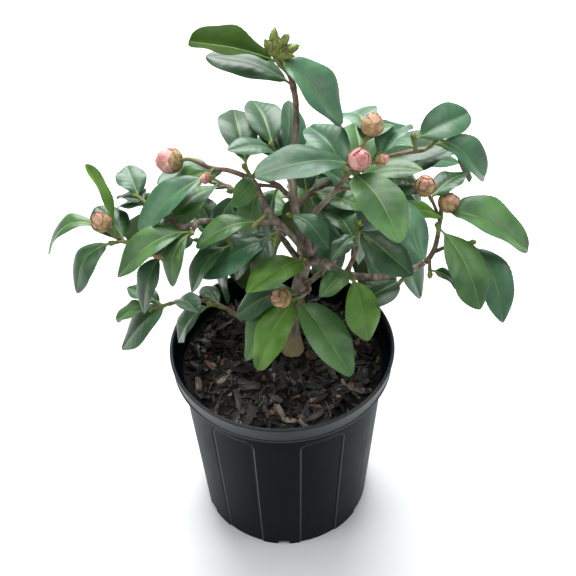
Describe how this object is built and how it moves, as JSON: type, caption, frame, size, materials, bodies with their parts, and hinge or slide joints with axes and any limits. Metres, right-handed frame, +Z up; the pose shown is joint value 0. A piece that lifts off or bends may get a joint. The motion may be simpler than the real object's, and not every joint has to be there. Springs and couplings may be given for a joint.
{
  "type": "potted camellia shrub",
  "caption": "Young evergreen camellia with glossy leaves and flower buds on branching woody stems, in a round fluted nursery pot filled with bark.",
  "frame": {"origin": "centre of the pot's flat underside, at floor level", "axes": "+Z up; -Y is the front, as in the picture; +X is to the right seen from the front"},
  "size_m": [0.4879, 0.3165, 0.6289],
  "materials": {
    "pot": "satin black moulded plastic",
    "potting_bark": "damp dark bark chips",
    "bark": "grey-brown bark, a little rough",
    "foliage": "leathery glossy leaves, green twigs and closed buds"
  },
  "bodies": {
    "root": {"bough_back": "bark", "bough_back_left": "bark", "bough_back_low_left": "bark", "bough_back_low_right": "bark", "bough_back_right": "bark", "bough_leader": "bark", "bough_left_high": "bark", "bough_left_low": "bark", "bough_low_left": "bark", "bough_right_high": "bark", "bough_right_low": "bark", "bough_right_top": "bark", "foliage_back": "foliage", "foliage_back_high": "foliage", "foliage_back_left": "foliage", "foliage_back_low_left": "foliage", "foliage_back_low_right": "foliage", "foliage_back_right": "foliage", "foliage_centre": "foliage", "foliage_centre_left": "foliage", "foliage_centre_right": "foliage", "foliage_fork": "foliage", "foliage_front": "foliage", "foliage_leader": "foliage", "foliage_left_back": "foliage", "foliage_left_high": "foliage", "foliage_left_inner": "foliage", "foliage_left_low": "foliage", "foliage_left_mid": "foliage", "foliage_left_over": "foliage", "foliage_left_under": "foliage", "foliage_low_left": "foliage", "foliage_right_high": "foliage", "foliage_right_inner": "foliage", "foliage_right_low": "foliage", "foliage_right_top": "foliage", "foliage_right_under": "foliage", "foliage_upper_left": "foliage", "pot": "pot", "potting_bark": "potting_bark", "trunk": "bark"}
  },
  "joints": []
}
